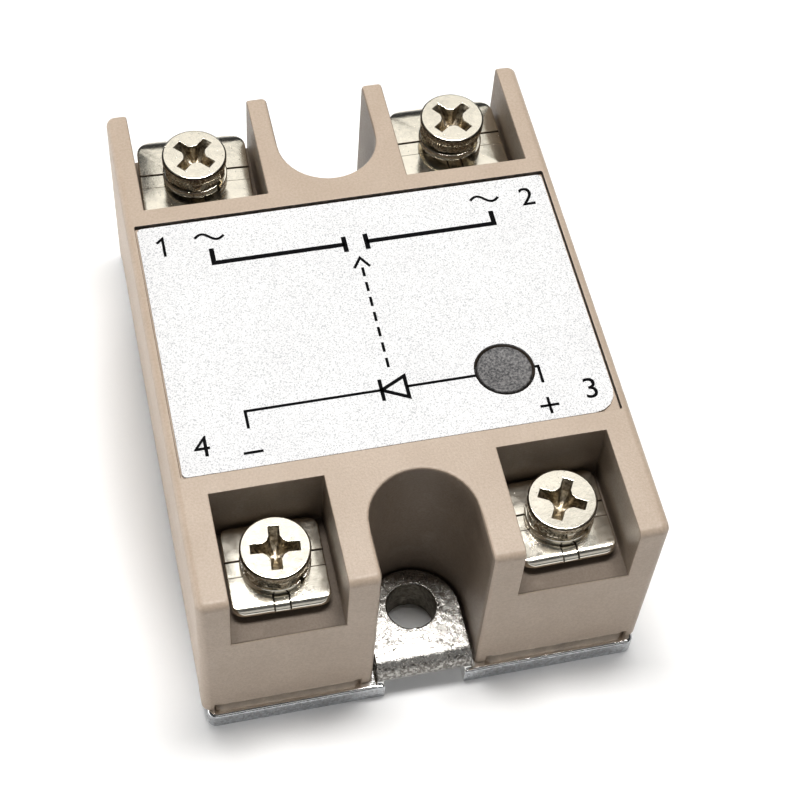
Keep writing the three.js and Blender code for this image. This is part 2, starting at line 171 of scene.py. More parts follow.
def beige_plastic(
    name="beige_plastic", shade=1.0, low_gloss=0.36, high_gloss=0.5, dust=0.12, sheen=0.45,
):
    """Moulded thermoplastic: spark-eroded grain, mottling, dark flecks and pale dust or scuffs."""

    def tone(red, green, blue):
        return (red * shade, green * shade, blue * shade)

    surface = Surface(name, tone(0.51, 0.415, 0.335), 0.45, Specular_IOR_Level=sheen)
    mottle = surface.noise(6.0, 3, 0.55)
    grain = surface.noise(0.24, 3, 0.7)
    fleck = surface.remap(surface.noise(0.3, 1), 0.66, 0.75)
    scuff = surface.remap(surface.noise(1.2, 4, 0.7, surface.stretched(1, 0.12, 1)), 0.68, 0.78)
    haze = surface.remap(surface.noise(2.6, 5, 0.65), 0.52, 0.75, 0.0, dust)
    base = surface.mix(
        surface.remap(mottle, 0.3, 0.7), tone(0.478, 0.386, 0.308), tone(0.526, 0.430, 0.348))
    base = surface.mix(surface.remap(grain, 0.38, 0.62, 0.0, 0.5), base, tone(0.39, 0.31, 0.24))
    base = surface.mix(surface.math("MULTIPLY", fleck, 0.2), base, tone(0.30, 0.24, 0.19))
    base = surface.mix(surface.math("MULTIPLY", scuff, 0.12), base, (0.66, 0.59, 0.52))
    base = surface.mix(haze, base, (0.58, 0.51, 0.44))
    surface.color(base)
    surface.roughness(surface.remap(grain, 0.25, 0.75, low_gloss, high_gloss))
    surface.bump(surface.noise(3.5, 2, 0.5), 0.012)
    surface.bump(grain, 0.03)
    return surface.material


def joint_shadow():
    """Walls of the narrow gap round the label, painted near black as shade, mottled between two
    dark tones.
    """
    surface = Surface("joint_shadow", (0.05, 0.042, 0.035), 0.7)
    shade_mottle_noise = surface.noise(0.6, 3, 0.6)
    shade_mottle = surface.remap(shade_mottle_noise, 0.4, 0.7)
    surface.color(surface.mix(shade_mottle, (0.035, 0.03, 0.026), (0.12, 0.10, 0.082)))
    surface.bump(shade_mottle_noise, 0.02)
    return surface.material


def plated_steel():
    """Bright nickel over pressed steel: soft hammering, fine pits and stains with a warm cast."""
    color = (0.92, 0.875, 0.775)
    surface = Surface("plated_steel", color, 0.24, 1.0)
    stain = surface.noise(2.2, 4, 0.6)
    pit = surface.remap(surface.cells(0.5), 0.02, 0.09)
    spots = surface.remap(surface.noise(0.9, 2), 0.3, 0.36)
    pitting = surface.math("MAXIMUM", pit, surface.math("SUBTRACT", 1.0, spots))
    dull = tuple(0.84 * channel for channel in color)
    base = surface.mix(surface.remap(stain, 0.35, 0.75, 0.0, 0.6), color, dull)
    base = surface.mix(surface.remap(pitting, 0.0, 1.0, 0.7, 0.0), base, (0.20, 0.17, 0.13))
    surface.color(base)
    surface.roughness(surface.remap(surface.noise(0.5, 4, 0.65), 0.25, 0.75, 0.13, 0.22))
    surface.bump(surface.noise(1.4, 2, 0.5), 0.012)
    surface.bump(surface.noise(0.16, 2, 0.6), 0.002)
    surface.bump(pitting, 0.02)
    return surface.material


def tarnished_metal(name, light, dark, roughness=0.35, depth=0.05, size=0.45):
    """Darker, browner copy of the plating for recesses, grooves, head sides, ledges and bores:
    painted shade and painted dark reflection, partly grease, under a noise mottle.
    """
    surface = Surface(name, light, roughness, 1.0)
    grease_and_shade_mottle = surface.noise(size, 4, 0.65)
    surface.color(surface.mix(surface.remap(grease_and_shade_mottle, 0.36, 0.62), light, dark))
    wear = surface.noise(0.25, 2)
    surface.roughness(surface.remap(wear, 0.3, 0.7, roughness - 0.1, roughness + 0.15))
    surface.bump(grease_and_shade_mottle, depth)
    return surface.material


def cast_base():
    """Bright plated base: smooth ledges, hammered mounting pads with dark tool marks."""
    surface = Surface("cast_base", (0.90, 0.90, 0.90), 0.2, 1.0)
    height = surface.axis("Z")
    pad = surface.remap(height, 2.35, 2.75, smooth=True)
    lip = surface.remap(height, 4.45, 4.1, smooth=True)
    coarse = surface.noise(0.7, 5, 0.7, distortion=0.8)
    field = surface.noise(0.55, 1, 0.5, surface.stretched(0.8, 1.5, 1), distortion=1.0)
    line = surface.math("ABSOLUTE", surface.math("SUBTRACT", field, 0.5), 0.0)
    patchy = surface.remap(surface.noise(1.1, 2, 0.6), 0.44, 0.56)
    pock = surface.noise(0.34, 4, 0.7)
    dark_mark = surface.math("MULTIPLY", patchy, surface.remap(line, 0.035, 0.01))
    dark_pock = surface.math("MULTIPLY", lip, surface.remap(pock, 0.48, 0.56))
    dark = surface.math("MULTIPLY", pad, surface.math("MAXIMUM", dark_mark, dark_pock))
    stain = surface.noise(4.0, 4, 0.6)
    base = surface.mix(surface.remap(stain, 0.3, 0.7), (0.93, 0.93, 0.925), (0.80, 0.79, 0.77))
    base = surface.mix(surface.math("MULTIPLY", pad, 0.75), base, (0.37, 0.352, 0.322))
    surface.color(surface.mix(surface.math("MULTIPLY", dark, 0.75), base, (0.12, 0.105, 0.09)))
    polish = surface.remap(surface.noise(0.6, 4, 0.7), 0.3, 0.7, 0.10, 0.24)
    surface.roughness(surface.math("ADD", polish, surface.math("MULTIPLY", pad, 0.09)))
    scrape = surface.noise(0.5, 3, 0.6, surface.stretched(0.1, 1.5, 1.5))
    surface.bump(scrape, 0.01)
    relief = surface.math("SUBTRACT", coarse, surface.math("MULTIPLY", dark_mark, 0.35))
    relief = surface.math("SUBTRACT", relief, surface.math("MULTIPLY", dark_pock, 0.5))
    surface.bump(surface.math("MULTIPLY", pad, relief), 0.055)
    return surface.material


def sealant():
    """Cured resin at the foot of the housing: brownish beige, glossy, with rough patches."""
    surface = Surface("sealant", (0.58, 0.48, 0.39), 0.2, Coat_Weight=0.35, Coat_Roughness=0.12)
    flow = surface.noise(1.4, 3, 0.6)
    patch = surface.remap(surface.noise(3.2, 2, 0.5), 0.55, 0.65)
    crumb = surface.noise(0.28, 4, 0.75)
    base = surface.mix(surface.remap(flow, 0.3, 0.7), (0.50, 0.41, 0.33), (0.64, 0.54, 0.44))
    surface.color(surface.mix(surface.math("MULTIPLY", patch, 0.35), base, (0.70, 0.63, 0.56)))
    surface.roughness(surface.remap(flow, 0.3, 0.7, 0.16, 0.3))
    surface.bump(flow, 0.06)
    surface.bump(surface.math("MULTIPLY", patch, crumb), 0.25)
    return surface.material


def label_film():
    """Matt white film with a fine pearl speckle."""
    surface = Surface("label_film", (0.80, 0.80, 0.80), 0.5)
    speckle = surface.remap(surface.noise(0.14, 2, 0.7), 0.53, 0.62)
    cloud = surface.noise(7.0, 2, 0.5)
    base = surface.mix(surface.remap(cloud, 0.3, 0.7), (0.80, 0.80, 0.80), (0.75, 0.75, 0.755))
    surface.color(surface.mix(surface.math("MULTIPLY", speckle, 0.72), base, (0.30, 0.31, 0.33)))
    surface.roughness(surface.remap(surface.noise(0.2, 2), 0.3, 0.7, 0.40, 0.6))
    surface.bump(surface.noise(0.25, 3, 0.6), 0.01)
    return surface.material


def printing_ink():
    """Screen print: near black and matt, with worn pinholes."""
    black = (0.006, 0.006, 0.007)
    surface = Surface("printing_ink", black, 0.75, Specular_IOR_Level=0.08)
    pinhole = surface.remap(surface.noise(0.12, 2, 0.6), 0.7, 0.76)
    surface.color(surface.mix(surface.math("MULTIPLY", pinhole, 0.3), black, (0.2, 0.2, 0.21)))
    surface.bump(surface.noise(0.2, 2), 0.004)
    return surface.material


def smoked_lens():
    """Smoked diffusing lens: dark, grainy under a soft gloss."""
    surface = Surface("smoked_lens", (0.10, 0.10, 0.102), 0.42, Specular_IOR_Level=0.35)
    grain = surface.noise(0.22, 3, 0.65)
    pale = surface.remap(grain, 0.38, 0.64)
    surface.color(surface.mix(pale, (0.05, 0.05, 0.053), (0.235, 0.228, 0.226)))
    surface.bump(grain, 0.04)
    return surface.material


def tinned_copper():
    """Dull tin over copper, lightly clouded."""
    surface = Surface("tinned_copper", (0.74, 0.72, 0.68), 0.3, 1.0)
    cloud = surface.noise(1.5, 4, 0.6)
    dull = surface.remap(cloud, 0.3, 0.7)
    surface.color(surface.mix(dull, (0.78, 0.77, 0.74), (0.60, 0.56, 0.50)))
    surface.roughness(surface.remap(surface.noise(0.4, 3, 0.6), 0.3, 0.7, 0.22, 0.42))
    surface.bump(cloud, 0.03)
    return surface.material


def moulded(name, light, dark, roughness):
    """Small inner parts: two close tones and a moulded grain."""
    surface = Surface(name, light, roughness)
    surface.color(surface.mix(surface.remap(surface.noise(1.8, 3, 0.6), 0.3, 0.7), light, dark))
    gloss = surface.noise(0.4, 3)
    surface.roughness(surface.remap(gloss, 0.3, 0.7, roughness - 0.08, roughness + 0.08))
    surface.bump(surface.noise(0.15, 3, 0.6), 0.012)
    return surface.material


def board_laminate():
    """Green solder mask over glass weave."""
    surface = Surface("board_laminate", (0.03, 0.16, 0.07), 0.3, Coat_Weight=0.3)
    warp = surface.tree.nodes.new("ShaderNodeTexWave")
    surface.tree.links.new(surface.place, warp.inputs["Vector"])
    warp.inputs["Scale"].default_value = 0.6
    weave = warp.outputs["Fac"]
    surface.color(surface.mix(weave, (0.025, 0.13, 0.055), (0.045, 0.20, 0.09)))
    surface.bump(weave, 0.015)
    return surface.material


def lamp_epoxy():
    """Clear red epoxy of the indicator lamp."""
    surface = Surface("lamp_epoxy", (0.55, 0.02, 0.015), 0.12, Transmission_Weight=0.4, IOR=1.5)
    surface.color(surface.mix(surface.noise(1.0, 2), (0.60, 0.025, 0.02), (0.42, 0.01, 0.01)))
    surface.bump(surface.noise(0.6, 2), 0.01)
    return surface.material


def studio_paper():
    """White paper with a faint glow that grows away from the object, like a lit cyclorama; the glow
    is held off within 24 to 36 mm of the centre, a painted shade round the object's foot and under
    its holes.
    """
    surface = Surface("studio_paper", (0.84, 0.84, 0.84), 0.7, Emission_Color=(1, 1, 1, 1))
    distance = surface.tree.nodes.new("ShaderNodeVectorMath")
    distance.operation = "LENGTH"
    surface.tree.links.new(surface.place, distance.inputs[0])
    # No glow near the object: painted shade at its foot and in the mounting holes.
    near = surface.remap(distance.outputs["Value"], 24, 36, 0.0, 0.16, smooth=True)
    far = surface.remap(distance.outputs["Value"], 220, 520, 0.0, 0.64, smooth=True)
    glow = surface.math("ADD", near, far)
    surface.tree.links.new(glow, surface.shader.inputs["Emission Strength"])
    tone = surface.noise(30.0, 3, 0.5)
    surface.color(surface.mix(tone, (0.82, 0.82, 0.82), (0.86, 0.86, 0.86)))
    surface.bump(surface.noise(0.4, 2), 0.01)
    return surface.material


BEIGE = beige_plastic()
# Darker, smoother copy of the beige plastic for bay and notch walls: the darkness is painted shade.
POCKET_SHADE = beige_plastic("beige_plastic_smooth_pocket_shade", 0.58, 0.34, 0.46, 0.16, 0.22)
SHADED = beige_plastic("beige_plastic_shaded", 0.4, 0.42, 0.54, 0.1, 0.2)
JOINT = joint_shadow()
PLATED = plated_steel()
# Screw cross recesses: brown partly from grease, mostly painted shade inside the cross.
RECESS = tarnished_metal("recess_grease_and_shade_metal", (0.66, 0.59, 0.47), (0.19, 0.16, 0.12))
# Head sides: a darker copy of the plating, painted shade, with a tarnish mottle.
SIDE = tarnished_metal("head_side_shade_metal", (0.76, 0.70, 0.59), (0.46, 0.40, 0.31), 0.2, 0.006, 1.3)
# Near-black plating for the clamp channel grooves and the ring under the head rim: painted shade
# and painted dark reflection.
GROOVE = tarnished_metal("groove_shade_metal", (0.16, 0.13, 0.10), (0.07, 0.055, 0.04), 0.6, 0.01)
CAST = cast_base()
# Grey-blue plating for the base's upright outer faces: painted reflection and shade.
LEDGE = tarnished_metal("ledge_reflection_metal", (0.60, 0.62, 0.64), (0.40, 0.40, 0.41), 0.2, 0.01)
# Dark plating for the mounting-hole walls: painted shade.
BORE = tarnished_metal("bore_shade_metal", (0.42, 0.39, 0.34), (0.20, 0.18, 0.15), 0.5, 0.04)
SEALANT = sealant()
FILM = label_film()
INK = printing_ink()
LENS = smoked_lens()
TINNED = tinned_copper()
BLACK_EPOXY = moulded("black_epoxy", (0.020, 0.020, 0.022), (0.035, 0.034, 0.034), 0.45)
CERAMIC = moulded("ceramic", (0.82, 0.81, 0.78), (0.76, 0.74, 0.70), 0.5)
CAPACITOR = moulded("capacitor_case", (0.03, 0.09, 0.36), (0.04, 0.12, 0.42), 0.35)
RESISTOR = moulded("resistor_paint", (0.60, 0.44, 0.24), (0.52, 0.37, 0.19), 0.4)
BOARD = board_laminate()
LAMP = lamp_epoxy()


# ------------------------------------------------------------------ mesh helpers
SHARP = math.radians(35)
UPRIGHT = 0.5  # largest vertical share of an upright face's normal


def smooth(mesh):
    for polygon in mesh.polygons:
        polygon.use_smooth = True
    mesh.set_sharp_from_angle(angle=SHARP)


def weigh_edges(shape, widest, width_at):
    """Rounds each sharp edge by width_at(its middle) in mm, stored as a share of the widest."""
    weight = shape.edges.layers.float.new("bevel_weight_edge")
    for edge in shape.edges:
        if len(edge.link_faces) == 2 and edge.calc_face_angle(0) > SHARP:
            edge[weight] = width_at((edge.verts[0].co + edge.verts[1].co) / 2) / widest


def make_piece(
    name, shape, body, materials, replaces=(), place=(0, 0, 0), bevel=0.0, by_weight=False,
):
    """Turns a bmesh in millimetres into a piece that rides on a CAD body."""
    shape.transform(Matrix.Translation(Vector(place) * MM) @ Matrix.Scale(MM, 4))
    bmesh.ops.recalc_face_normals(shape, faces=shape.faces)
    mesh = bpy.data.meshes.new(name)
    shape.to_mesh(mesh)
    shape.free()
    for material in materials:
        mesh.materials.append(material)
    smooth(mesh)
    piece = bpy.data.objects.new(name, mesh)
    bpy.context.scene.collection.objects.link(piece)
    if bevel:
        edge = piece.modifiers.new("edge", "BEVEL")
        edge.width = bevel * MM
        edge.segments = 4 if by_weight else 2
        edge.limit_method = "WEIGHT" if by_weight else "ANGLE"
        edge.angle_limit = SHARP
        edge.use_clamp_overlap = False
        weighted = piece.modifiers.new("flat_faces", "WEIGHTED_NORMAL")
        weighted.keep_sharp = False
    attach(piece, body)
    if replaces:
        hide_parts(*replaces)
    return piece


def copy_of(node, seams):
    """A node's own solid as a clean bmesh in millimetres, its flat faces merged.

    Seams are X positions that cut through every hole, so that no merged face has a hole in it.
    """
    shape = bmesh.new()
    shape.from_mesh(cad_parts[node].data)
    shape.transform(Matrix.Scale(1 / MM, 4))
    same_point = 1e-4
    bmesh.ops.remove_doubles(shape, verts=shape.verts, dist=same_point)
    for x in seams:
        everything = shape.verts[:] + shape.edges[:] + shape.faces[:]
        cut = bmesh.ops.bisect_plane(
            shape, geom=everything, plane_co=(x, 0, 0), plane_no=(1, 0, 0))
        for part in cut["geom_cut"]:
            if isinstance(part, bmesh.types.BMEdge):
                part.seam = True
    bmesh.ops.dissolve_limit(
        shape, angle_limit=math.radians(0.5), verts=shape.verts, edges=shape.edges,
        delimit={"SEAM"})
    upright = [
        edge for edge in shape.edges
        if edge.seam and all(abs(face.normal.z) < UPRIGHT for face in edge.link_faces)
    ]
    bmesh.ops.dissolve_edges(shape, edges=upright, use_verts=True)
    return shape


def add_rings(shape, rings, close_first=True, close_last=True):
    """Skins rings of points, each a closed loop with the same count, into one closed body."""
    loops = [[shape.verts.new(point) for point in ring] for ring in rings]
    for lower, upper in zip(loops, loops[1:]):
        for index, corner in enumerate(lower):
            after = (index + 1) % len(lower)
            shape.faces.new((corner, lower[after], upper[after], upper[index]))
    if close_first:
        shape.faces.new(reversed(loops[0]))
    if close_last:
        shape.faces.new(loops[-1])


def circle(radius, height, steps, shift=None):
    """A level ring; shift(angle) is added to the radius when it is given."""
    points = []
    for step in range(steps):
        angle = 2 * math.pi * step / steps
        reach = radius + (shift(angle) if shift else 0)
        points.append((reach * math.cos(angle), reach * math.sin(angle), height))
    return points


def arc(center, radius, start, end, steps):
    """Points of an arc in a (radius, height) profile, angles in degrees."""
    angles = [math.radians(start + (end - start) * step / steps) for step in range(steps + 1)]
    return [(center[0] + radius * math.cos(a), center[1] + radius * math.sin(a)) for a in angles]


def subtract(shape, cutter):
    """Exact boolean difference of two closed bmeshes; both are used up."""
    pair = []
    for part in (shape, cutter):
        bmesh.ops.recalc_face_normals(part, faces=part.faces)
        mesh = bpy.data.meshes.new("boolean_part")
        part.to_mesh(mesh)
        part.free()
        pair.append(bpy.data.objects.new("boolean_part", mesh))
        bpy.context.scene.collection.objects.link(pair[-1])
    modifier = pair[0].modifiers.new("cut", "BOOLEAN")
    modifier.solver = "EXACT"
    modifier.object = pair[1]
    bpy.context.view_layer.update()
    evaluated = pair[0].evaluated_get(bpy.context.evaluated_depsgraph_get())
    result = bmesh.new()
    result.from_mesh(evaluated.to_mesh())
    evaluated.to_mesh_clear()
    for part in pair:
        mesh = part.data
        bpy.data.objects.remove(part)
        bpy.data.meshes.remove(mesh)
    bmesh.ops.dissolve_limit(
        result, angle_limit=math.radians(0.3), verts=result.verts, edges=result.edges,
        delimit={"MATERIAL"})
    return result


# ------------------------------------------------------------------ housing and base
HOUSING_HIGH = in_mm(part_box("housing")[1])
SEALANT_LOW, SEALANT_HIGH = (in_mm(corner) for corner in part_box("base_sealant"))
NOTCH_HALF_WIDTH = 5.25
TOP_ROUNDING = 0.8
BAY_INNER, BAY_OUTER = 7, 21
NEAR = 0.02  # slack when a face or edge is matched to a known plane


def housing_rounding(middle_point):
    """Wide rounding where the notch walls meet the end faces, less at leg ends and notch rim."""
    across, along, height = abs(middle_point.x), abs(middle_point.y), middle_point.z
    upright_share = min(max((HOUSING_HIGH.z - height) / TOP_ROUNDING, 0), 1)
    at_end = along > HOUSING_HIGH.y - TOP_ROUNDING - 0.1
    back = middle_point.y > 0
    notch_start = 15
    on_notch = across < NOTCH_HALF_WIDTH + NEAR and along > notch_start
    on_deck = height > HOUSING_HIGH.z - NEAR
    fine, rim, notch_gain = 0.1, 0.3, 0.4
    if height < SEALANT_HIGH.z + 0.3:
        return fine
    if on_notch and at_end and across > NOTCH_HALF_WIDTH - NEAR:
        return rim + notch_gain * upright_share
    if on_notch and on_deck:
        return rim
    if at_end and BAY_INNER < across < BAY_OUTER:
        leg_gain = 0.4 if back else 0.12
        return fine + leg_gain * upright_share
    return fine


def housing_finish(face):
    """0 for the open surfaces, 1 inside bays and notches, 2 for the label gap, 3 for bay floors; 1,
    2 and 3 are darker materials painted as shade.
    """
    middle_point = face.calc_center_median()
    across, along, height = abs(middle_point.x), abs(middle_point.y), middle_point.z
    label_low, label_high = (in_mm(corner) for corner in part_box("face_label"))
    upright = abs(face.normal.z) < UPRIGHT
    gap = 0.4
    in_label_length = label_low.y - gap < middle_point.y < label_high.y + gap
    beside_label = across < label_high.x + gap and in_label_length
    window_reach = 4
    off_window = (middle_point - middle("indicator_window")).xy.length > window_reach
    if upright and beside_label and off_window and height > label_low.z - 0.1:
        # Label-gap walls take the near-black painted-shade material.
        return 2
    past_rounding = along > HOUSING_HIGH.y - TOP_ROUNDING - 0.05
    leg_start = 5.3
    outer_end = past_rounding and abs(face.normal.y) > 0.2 and across > leg_start
    open_start = 16
    bay_side, bay_floor = 20.5, 15.5
    in_bay_height = bay_floor < height < HOUSING_HIGH.z - NEAR
    in_bay = BAY_INNER < across < bay_side and along > open_start and in_bay_height
    in_notch = across < NOTCH_HALF_WIDTH + NEAR and along > open_start and upright
    below_deck = 4
    if in_bay and not upright and height < HOUSING_HIGH.z - below_deck:
        return 3
    # Index 1: bay and notch walls take the darker painted-shade copy.
    return 1 if (in_bay or in_notch) and not outer_end else 0


def build_housing():
    beside_middle = 0.2
    seams = [beside_middle, middle("indicator_window").x]
    seams += [middle(f"terminal_screw_{n}").x for n in (1, 2)]
    shape = copy_of("housing", seams)
    for face in shape.faces:
        face.material_index = housing_finish(face)
    widest = 0.7
    weigh_edges(shape, widest, housing_rounding)
    make_piece(
        "housing_shell", shape, "relay", (BEIGE, POCKET_SHADE, JOINT, SHADED),
        replaces=["housing"], bevel=widest, by_weight=True,
    )


def build_base():
    shape = copy_of("base_plate", [0])
    ledge_top = SEALANT_LOW.z
    hole_reach, hole_y = 2.6, 23.5
    for face in shape.faces:
        center = face.calc_center_median()
        upright = abs(face.normal.z) < UPRIGHT
        beside_hole = abs(center.x) < hole_reach and abs(abs(center.y) - hole_y) < hole_reach
        # Hole walls take the dark painted-shade metal.
        in_hole = beside_hole and upright
        # Upright ledge faces take the grey-blue painted-reflection metal.
        on_ledge = upright and abs(center.x) > NOTCH_HALF_WIDTH - 0.1
        face.material_index = 1 if in_hole else 2 if on_ledge else 0
    widest = 0.35

    def rounding(middle_point):
        on_ledge = abs(middle_point.z - ledge_top) < NEAR and abs(middle_point.y) > HOUSING_HIGH.y
        if on_ledge:
            return widest
        return 0.2 if abs(middle_point.x) < hole_reach else 0.12

    weigh_edges(shape, widest, rounding)
    make_piece(
        "base_casting", shape, "relay", (CAST, BORE, LEDGE),
        replaces=["base_plate"], bevel=widest, by_weight=True,
    )


def bead_section(swell):
    """Half-hidden bead in the rebate: (depth behind the wall, height), with an undercut foot."""
    foot, head = SEALANT_LOW.z, SEALANT_HIGH.z + 0.15
    rise = head - foot
    back = 0.72
    profile = [(back, 0), (0.56, 0), (0.5, 0.18), (0.42, 0.34), (0.24, 0.46), (0.12, 0.58)]
    profile += [(0.08, 0.72), (0.11, 0.86), (0.22, 0.97), (0.4, 1.0), (back, 1.0)]
    return [(back - (back - depth) * swell, foot + share * rise) for depth, share in profile]


def add_bead(shape, start, end, outward):
    """A bead from start to end along a wall, tapering into the rebate at both ends."""
    length = (end - start).length
    step_length, taper_length = 0.45, 0.5
    steps = max(12, round(length / step_length))
    rings = []
    for step in range(steps + 1):
        share = step / steps
        from_end = min(share, 1 - share) * length
        taper = math.sqrt(min(from_end / taper_length, 1))
        spot = ((start + end).x + share * length * 0.8, (start + end).y, 3.1)
        wobble = 0.05 * noise.noise(spot)
        place = start.lerp(end, share)
        ring = []
        for depth, height in bead_section(0.25 + 0.75 * taper + wobble):
            point = place - outward * depth
            ring.append((point.x, point.y, height))
        rings.append(ring)
    add_rings(shape, rings)


def build_sealant_bead():
    shape = bmesh.new()
    corner_stop = 1.35
    x, y = HOUSING_HIGH.x, HOUSING_HIGH.y
    for side in (-1, 1):
        inner, outer = NOTCH_HALF_WIDTH + corner_stop, x - corner_stop
        add_bead(shape, Vector((-outer, side * y)), Vector((-inner, side * y)), Vector((0, side)))
        add_bead(shape, Vector((inner, side * y)), Vector((outer, side * y)), Vector((0, side)))
        reach = y - 2 * corner_stop
        add_bead(shape, Vector((side * x, -reach)), Vector((side * x, reach)), Vector((side, 0)))
    make_piece("sealant_bead", shape, "relay", (SEALANT,))


def carried_over(material, slot, *nodes):
    """CAD pieces that keep their own mesh and only get a material."""
    for node in nodes:
        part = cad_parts[node]
        part.data.materials.clear()
        part.data.materials.append(material)


carried_over(SEALANT, "sealant", "base_sealant")
carried_over(FILM, "label_film", "face_label")
carried_over(LAMP, "lamp_epoxy", "indicator_lamp")
carried_over(TINNED, "tinned_copper", *[f"terminal_strap_{n}" for n in TERMINALS])
carried_over(TINNED, "tinned_copper", "triac_tab", "triac_lead_1", "triac_lead_2", "triac_lead_3")
carried_over(CERAMIC, "ceramic", "insulator_plate")
carried_over(
    BLACK_EPOXY, "black_epoxy", "triac_case", "optocoupler", "input_diode", "input_transistor")
carried_over(BOARD, "board_laminate", "circuit_board")
carried_over(CAPACITOR, "capacitor_case", "snubber_capacitor")
carried_over(RESISTOR, "resistor_paint", "snubber_resistor", "gate_resistor", "input_resistor")


# ------------------------------------------------------------------ terminal hardware
def head_shape(seed):
    """Cheese head over a hexagonal skirt, with patches of knurling left by the header."""
    flat_share = 0.91
    knurl_depth, knurl_count = 0.09, 48

    def skirt(angle):
        to_flat = (angle + 0.35 * seed) % (math.pi / 3) - math.pi / 6
        flat = min(flat_share / math.cos(to_flat) - 1, 0) * HEAD_RADIUS
        patch = noise.noise((1.3 * math.cos(angle), 1.3 * math.sin(angle), 7.0 * seed))
        strength = min(max((patch - 0.05) / 0.1, 0), 1)
        return flat - knurl_depth * strength * (0.5 + 0.5 * math.cos(knurl_count * angle))

    steps = 192
    shape = bmesh.new()
    edge = 0.2
    rings = [circle(HEAD_RADIUS - 0.25, 0, steps)]
    rings.append(circle(HEAD_RADIUS - 0.02, 0.14, steps, shift=skirt))
    rings += [circle(HEAD_RADIUS, z, steps, shift=skirt) for z in (0.3, 0.6, 0.9, 1.05)]
    rings += [circle(HEAD_RADIUS - 0.1, 1.14, steps), circle(HEAD_RADIUS - 0.02, 1.24, steps)]
    profile = arc((HEAD_RADIUS - edge, HEAD_HEIGHT - edge), edge, 0, 90, 5)
    rings += [circle(radius, z, steps) for radius, z in profile]
    add_rings(shape, rings)
    return shape


def cross_cutter():
    """Cross recess: four tapering arms with wide rounded corners between them."""
    def outline(reach, half_width, corner, height):
        bow = 0.38
        quadrant = [(reach, -half_width), (reach, half_width), (half_width + corner, half_width)]
        quadrant.append((half_width + bow * corner, half_width + bow * corner))
        quadrant.append((half_width, half_width + corner))
        points = []
        for turn in range(4):
            spin = Matrix.Rotation(turn * math.pi / 2, 3, "Z")
            points += [spin @ Vector((x, y, height)) for x, y in quadrant]
        return points

    shape = bmesh.new()
    add_rings(shape, [
        outline(0.45, 0.14, 0.12, HEAD_HEIGHT - 1.9),
        outline(1.25, 0.36, 0.30, HEAD_HEIGHT - 1.45),
        outline(2.22, 0.47, 0.62, HEAD_HEIGHT - 0.2),
        outline(2.42, 0.53, 0.74, HEAD_HEIGHT + 0.1),
    ])
    return shape


def add_shank(shape, length):
    """Threaded shank from the seat downwards, with a right-hand thread and a chamfered tip."""
    steps = 28
    rows_per_turn = 8
    thread_depth, tip_depth, tip_length = 0.38, 0.5, 0.6
    rows = round(length / THREAD_PITCH * rows_per_turn)
    rings = []
    for row in range(rows + 1):
        height = -length + row * length / rows
        taper = min(1, (height + length) / tip_length)

        def flank(angle, height=height, taper=taper):
            phase = (height / THREAD_PITCH - angle / (2 * math.pi)) % 1
            depth = thread_depth * abs(2 * phase - 1)
            return -max(depth, tip_depth * (1 - taper))

        rings.append(circle(SHANK_RADIUS, height, steps, shift=flank))
    rings[-1] = circle(SHANK_RADIUS - 0.2, 0.05, steps)
    add_rings(shape, rings)


def build_screw(number):
    node = f"terminal_screw_{number}"
    low, high = (in_mm(corner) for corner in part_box(node))
    seat = high.z - HEAD_HEIGHT
    shape = subtract(head_shape(number), cross_cutter())
    recess_reach = 2.6
    for face in shape.faces:
        center = face.calc_center_median()
        if center.xy.length < recess_reach:
            # Cross recess walls: painted shade, partly grease.
            face.material_index = 1 if 0.2 < center.z < HEAD_HEIGHT - 0.02 else 0
        elif HEAD_HEIGHT - 0.2 < center.z < HEAD_HEIGHT - 0.06:
            # Thin ring under the head's top edge: painted dark reflection.
            face.material_index = 3
        else:
            # Head sides take the darker, painted-shade copy of the plating.
            face.material_index = 2 if center.z < HEAD_HEIGHT - 0.1 else 0
    add_shank(shape, seat - low.z)
    bmesh.ops.rotate(shape, verts=shape.verts, matrix=Matrix.Rotation(DRIVER_TURN[number], 3, "Z"))
    center = middle(node)
    make_piece(
        f"screw_{number}", shape, f"screw_unit_{number}", (PLATED, RECESS, SIDE, GROOVE),
        replaces=[node], place=(center.x, center.y, seat), bevel=0.05,
    )


def build_washer(number):
    """Split spring washer: a rectangular bar wound one turn, its ends standing apart when slack."""
    node = f"spring_washer_{number}"
    low, high = (in_mm(corner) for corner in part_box(node))
    inner = SHANK_RADIUS + 0.3
    outer = (high.x - low.x) / 2 - 0.03
    thickness = 0.84 if number in INPUT_TERMINALS else 0.78
    rise = high.z - low.z - thickness - 0.02
    gap, gap_turn = 0.16, 0.9
    steps = 72
    corner = 0.1
    section = []
    corners = ((outer, thickness, 0), (inner, thickness, 90), (inner, 0, 180), (outer, 0, 270))
    for x, z, start in corners:
        middle_x = x - corner if x == outer else x + corner
        middle_z = z - corner if z else z + corner
        section += arc((middle_x, middle_z), corner, start, start + 90, 3)
    shape = bmesh.new()
    rings = []
    for step in range(steps + 1):
        share = step / steps
        angle = gap / 2 + share * (2 * math.pi - gap) - gap_turn
        lift = rise * share + 0.01
        rings.append([(r * math.cos(angle), r * math.sin(angle), z + lift) for r, z in section])
    add_rings(shape, rings)
    center = middle(node)
    make_piece(
        f"washer_{number}", shape, f"clamp_unit_{number}", (PLATED,),
        replaces=[node], place=(center.x, center.y, low.z),
    )


